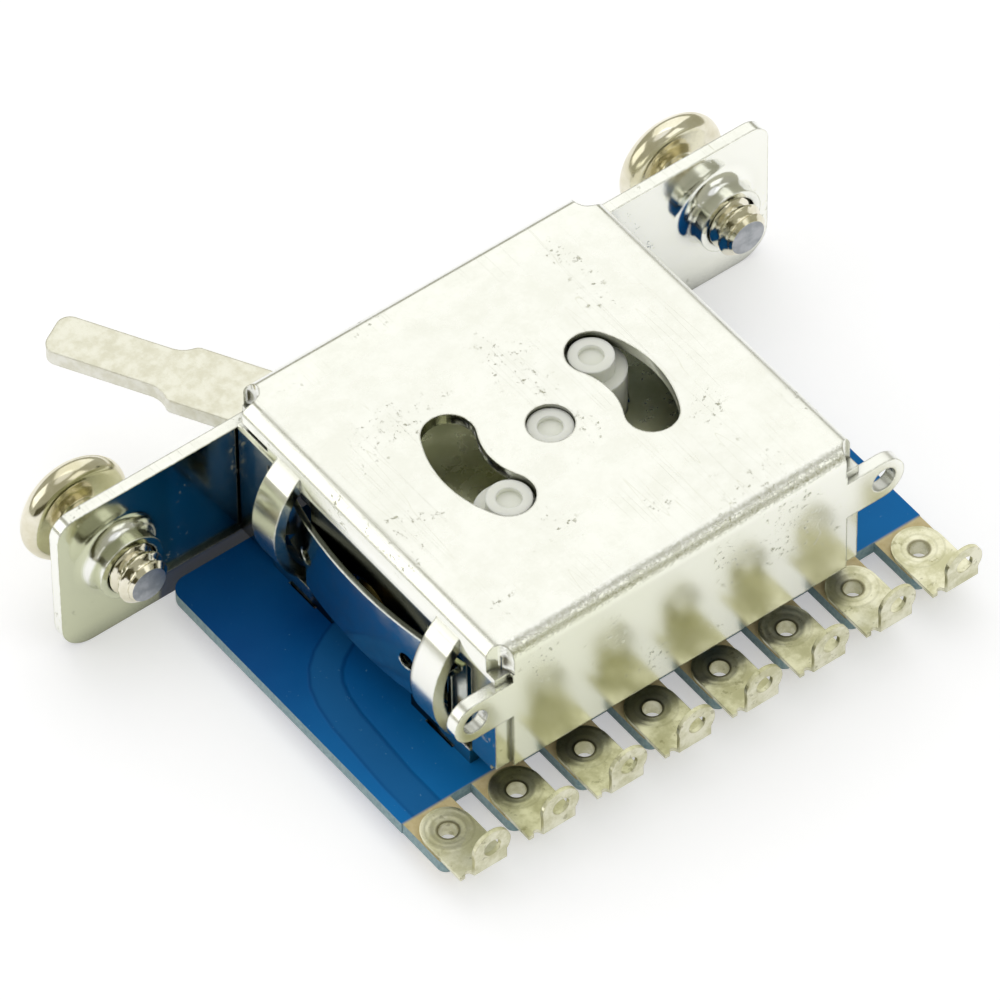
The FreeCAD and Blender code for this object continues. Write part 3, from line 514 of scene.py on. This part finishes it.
def screw_points(low, high):
    """The grid of a screw that fills its node's box.

    Radius of the shank: the thread's outside radius less a groove whose depth is a clipped saw wave
    of (height / pitch + angle / full turn), never more than the chamfer's radius. The head's rim is
    a quarter ellipse, its dome another. The cross sinks the dome by the deeper of two arms."""
    end, under = low.y, high.y - head_high
    head_radius = (high.x - low.x) / 2
    quarter = np.linspace(0, np.pi / 2, 12)
    dome = np.linspace(0, np.pi / 2, 60)[1:]
    shank = np.linspace(end, under, shank_steps)
    along = np.concatenate([[end, end, end], shank, [under],
                            under + rim_high * (1 - np.cos(quarter)),
                            under + rim_high + (head_high - rim_high) * np.sin(dome)])
    radius = np.concatenate([[0, end_radius * 0.6, end_radius * 0.97],
                             np.full(shank_steps, thread_radius), [thread_radius + neck_flare],
                             head_flat + (head_radius - head_flat) * np.sin(quarter),
                             head_radius * np.cos(dome)])
    angle = np.arange(turns) / turns * 2 * np.pi
    along, angle = np.meshgrid(along, angle, indexing="ij")
    radius = np.repeat(radius[:, None], turns, axis=1)
    wave = np.abs(2 * ((along / thread_pitch + angle / (2 * np.pi)) % 1) - 1)
    groove = thread_depth * np.clip(wave * flank_slope - crest_share, 0, 1)
    threaded = np.minimum(radius - groove, end_radius + (along - end))
    on_shank = np.zeros(radius.shape, bool)
    on_shank[3:3 + shank_steps] = True
    radius = np.where(on_shank, threaded, radius)
    across, level = radius * np.cos(angle), radius * np.sin(angle)
    cross = np.maximum(cross_arm(across, level), cross_arm(level, across))
    sunk = (along > under + rim_high) & (cross > 0)
    along = np.where(sunk, np.minimum(along, high.y - cross), along)
    return np.stack([(high.x + low.x) / 2 + across, along, (high.z + low.z) / 2 + level], axis=-1)


# %% [markdown]
# Each threaded screw takes the place of the CAD model's plain one, at the same box, and rides on
# the frame. Its cut end is rougher and greyer than the plated rest, so the faces that lie flat at
# the very end take a second material.

# %% Mounting screws: made and placed
for side in ("left", "right"):
    node_name = "mounting_screw_" + side
    screw = closed_mesh("threaded_screw_" + side, screw_points(*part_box(node_name)))
    screw.data.materials.append(screw_metal)
    screw.data.materials.append(cut_metal)
    centres = np.empty(3 * len(screw.data.polygons), np.float32)
    screw.data.polygons.foreach_get("center", centres)
    heights = centres[1::3]
    at_end = heights < heights.min() + 0.01 * mm
    screw.data.polygons.foreach_set("material_index", at_end.astype(np.int32))
    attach(screw, "frame")
    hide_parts(node_name)
    print(screw.name, len(screw.data.polygons), "faces")

# %% [markdown]
# The rotor's carrier and its spacer are moulded from white nylon. Nylon lets light in a little
# way, so its edges glow; subsurface scattering over half a millimetre, almost the same for every
# colour, gives that without the pink of skin.

# %% Nylon of the rotor
nylon, shader = material("white_nylon", Roughness=0.36, Subsurface_Weight=0.6,
                         Subsurface_Scale=0.6 * mm, Subsurface_Radius=(1.0, 1.0, 0.9),
                         Specular_IOR_Level=0.4)
at = place(nylon)
join(nylon, mix(nylon, noise(nylon, 420, 3, 0.5, at), tint(224, 226, 212), tint(240, 241, 232)),
     shader.inputs["Base Color"])
relief = bump(nylon, noise(nylon, 3000, 3, 0.6, at), 0.006 * mm, 0.5,
              rounded_edges(nylon, 0.15 * mm))
join(nylon, relief, shader.inputs["Normal"])
dress(["carrier", "spacer_ring"], nylon)

# %% [markdown]
# The board is a glass-fibre sheet under deep blue varnish. The varnish covers the copper tracks,
# which show as paler raised bands, and it ends at the fingers, whose bare tops are tan. The sawn
# edges show the pale fibre. A track is drawn by the distance to a line of straight runs: for each
# run the nearest point is found by a dot product, and the smallest distance of all runs wins.

# %% Circuit board: a track under the varnish


def distance_to(made, at, corners):
    """How far a point lies from the nearest run of a line through the corners, seen from above."""
    nearest = None
    for (x0, y0), (x1, y1) in zip(corners, corners[1:]):
        start = (x0 * mm, pivot_y + y0 * mm, 0)
        run = ((x1 - x0) * mm, (y1 - y0) * mm, 0)
        offset = node(made, "VectorMath", {0: at, 1: start}, operation="SUBTRACT").outputs["Vector"]
        offset = node(made, "VectorMath", {0: offset, 1: (1, 1, 0)},
                      operation="MULTIPLY").outputs["Vector"]
        dot = node(made, "VectorMath", {0: offset, 1: run},
                   operation="DOT_PRODUCT").outputs["Value"]
        share = node(made, "MapRange", {"Value": dot, "From Max": run[0] ** 2 + run[1] ** 2})
        foot = node(made, "VectorMath", {0: run, "Scale": share.outputs["Result"]},
                    operation="SCALE").outputs["Vector"]
        gap = node(made, "VectorMath", {0: offset, 1: foot}, operation="DISTANCE").outputs["Value"]
        nearest = gap if nearest is None else maths(made, "MINIMUM", nearest, gap)
    return nearest


# corners of the left track, in millimetres from the pivot
left_run = ((-10.6, 3.2), (-11.6, 2.95), (-12.8, 2.45), (-13.8, 1.9), (-14.6, 1.2), (-15.2, 0.3),
            (-15.6, -0.9), (-15.85, -2.4), (-16.0, -4.9), (-16.15, -7.3), (-16.15, -10.2))
board, shader = material("circuit_board", Roughness=0.34, Specular_IOR_Level=0.06)
at = place(board)
beside = distance_to(board, at, left_run)
wide = fade(board, beside, 0.89 * mm, 1.07 * mm)
inner = fade(board, beside, 0.7 * mm, 0.9 * mm)
print("track of", len(left_run) - 1, "runs")

# %% Circuit board: varnish, fibre and bare fingers
axis = node(board, "SeparateXYZ", {0: at}).outputs
cloud = noise(board, 150, 3, 0.5, at)
frontward = band(board, axis["Y"], pivot_y + 6 * mm, pivot_y - 9.5 * mm)
tone = maths(board, "MULTIPLY_ADD", frontward, 0.6, both(board, cloud, 0.5))
varnish = mix(board, tone, tint(0, 58, 122), tint(22, 118, 186))
varnish = stain(board, varnish, wide, 0.4, tint(0, 40, 92))
varnish = stain(board, varnish, inner, 0.5, tint(34, 112, 172))
grit = band(board, noise(board, 3200, 3, 0.7, at), 0.68, 0.74)
varnish = stain(board, varnish, grit, 0.5, tint(110, 160, 190))
fibre = mix(board, noise(board, 4000, 3, 0.7, at), tint(84, 124, 140), tint(190, 212, 210))
bare = mix(board, noise(board, 1800, 3, 0.6, at), tint(188, 168, 112), tint(232, 218, 176))
on_finger = fade(board, axis["Y"], pivot_y - 10.15 * mm, pivot_y - 9.9 * mm)
level_face = band(board, maths(board, "ABSOLUTE", faces(board)["Z"]), 0.4, 0.6)
colour = mix(board, level_face, fibre, mix(board, on_finger, varnish, bare))
join(board, colour, shader.inputs["Base Color"])
relief = bump(board, noise(board, 900, 3, 0.5, at), 0.008 * mm, 0.5,
              rounded_edges(board, 0.08 * mm))
join(board, bump(board, wide, 0.03 * mm, 0.8, relief), shader.inputs["Normal"])
dress(["circuit_board"], board)

# %% [markdown]
# The studio is a white floor with a large soft lamp high behind the switch and weaker ones at the
# left and in front. The lamp behind is where the top of the case mirrors it to the camera, which
# is what makes flat metal look bright. The floor glows a little to the camera, so that the
# backdrop turns white while the shadow stays.

# %% Studio: the floor


def stage_sheet(name, corners, sides, made):
    """A piece of the studio, which isn't part of the switch."""
    sheet = bpy.data.objects.new(name, bpy.data.meshes.new(name))
    sheet.data.from_pydata(corners, [], sides)
    sheet.data.materials.append(made)
    bpy.context.scene.collection.objects.link(sheet)
    return sheet


def seen_directly(made):
    """1 for rays from the camera and for those that a mirror or glass sends on, else 0."""
    ray = node(made, "LightPath")
    straight = maths(made, "MAXIMUM", ray.outputs["Is Camera Ray"], ray.outputs["Is Glossy Ray"])
    return maths(made, "MAXIMUM", straight, ray.outputs["Is Transmission Ray"])


floor_z = cad_low.z - 0.02 * mm
floor_half = 3.0
floor_glow = 0.42
pale, shader = material("pale_floor", Roughness=0.9)
at = place(pale)
join(pale, mix(pale, noise(pale, 40, 2, 0.5, at), (0.72, 0.72, 0.72, 1), (0.74, 0.74, 0.74, 1)),
     shader.inputs["Base Color"])
join(pale, both(pale, seen_directly(pale), floor_glow), shader.inputs["Emission Strength"])
shader.inputs["Emission Color"].default_value = (1, 1, 1, 1)
stage_sheet("floor", [(-floor_half, -floor_half, floor_z), (floor_half, -floor_half, floor_z),
                      (floor_half, floor_half, floor_z), (-floor_half, floor_half, floor_z)],
            [(0, 1, 2, 3)], pale)
print("floor at", round(floor_z / mm, 2), "mm")

# %% [markdown]
# Polished metal shows what stands round it, and with nothing there it looks like paper. So two
# things are seen only in reflections: a grey wall all round, and a dark card on the camera's side,
# which gives curved metal its dark bands. A photographer's flags do the same work.

# %% Studio: the wall and the card
card_away = 0.8
card_high = 0.3
wall_radius = 1.8
wall_high = 5.0
wall_parts = 96

dark, shader = material("dark_card", Roughness=1.0, Specular_IOR_Level=0.0)
shader.inputs["Base Color"].default_value = tint(84, 80, 56)
aside = Vector((math.cos(view_azimuth), math.sin(view_azimuth), 0)) * card_away
toward = Vector((math.sin(view_azimuth), -math.cos(view_azimuth), 0)) * card_away
lift = Vector((0, 0, card_high))
card = stage_sheet("card", [toward - aside, toward + aside, toward + aside + lift,
                            toward - aside + lift], [(0, 1, 2, 3)], dark)

around, steps = np.meshgrid(np.linspace(0, 2 * np.pi, wall_parts + 1), (floor_z, wall_high))
wall_points = np.stack([wall_radius * np.cos(around), wall_radius * np.sin(around), steps],
                       axis=-1).reshape(-1, 3)
# each side joins two neighbours at the foot to the two above them
first = np.arange(wall_parts)[:, None]
wall_sides = first + np.array([0, 1, wall_parts + 2, wall_parts + 1])
grey, shader = material("grey_wall", Roughness=1.0, Specular_IOR_Level=0.0)
shader.inputs["Base Color"].default_value = (0, 0, 0, 1)
shader.inputs["Emission Color"].default_value = tint(178, 177, 160)
shader.inputs["Emission Strength"].default_value = 1.0
wall = stage_sheet("wall", wall_points.tolist(), wall_sides.tolist(), grey)
for reflected in (card, wall):
    for kind in ("camera", "diffuse", "shadow", "transmission", "volume_scatter"):
        setattr(reflected, "visible_" + kind, False)
print("wall of", len(wall_sides), "sides")

# %% [markdown]
# The world is white for the camera and for reflections, and dimmer for everything else. The lamps
# are square and large for their distance, because a small lamp would give hard shadows and tiny
# glints; each is placed by an angle round the switch and a height angle.

# %% Studio: the world and the lamps
soft_light = 0.6
world = bpy.data.worlds.new("studio")
bpy.context.scene.world = world
world.use_nodes = True
background = world.node_tree.nodes["Background"]
background.inputs["Color"].default_value = (1, 1, 1, 1)
join(world, maths(world, "MULTIPLY_ADD", seen_directly(world), 1 - soft_light, soft_light),
     background.inputs["Strength"])


def lamp(name, away, height, turn, size, power):
    """A square soft lamp that faces the switch, at an angle round it and one above it."""
    light = bpy.data.lights.new(name, "AREA")
    light.shape = "SQUARE"
    light.size = size
    light.energy = power
    lit = bpy.data.objects.new(name, light)
    turn, height = math.radians(turn), math.radians(height)
    spot = Vector((math.sin(turn) * math.cos(height), -math.cos(turn) * math.cos(height),
                   math.sin(height)))
    facing_in = spot.to_track_quat("Z", "Y").to_matrix().to_4x4()
    lit.matrix_world = Matrix.Translation(view_aim + spot * away) @ facing_in
    bpy.context.scene.collection.objects.link(lit)
    print(name, "lamp,", power, "W")


lamp("key", 1.2, 50, 143, 1.4, 4.7)
lamp("left fill", 1.2, 30, -122, 0.8, 2.2)
lamp("front fill", 1.2, 44, 30, 0.6, 1.0)
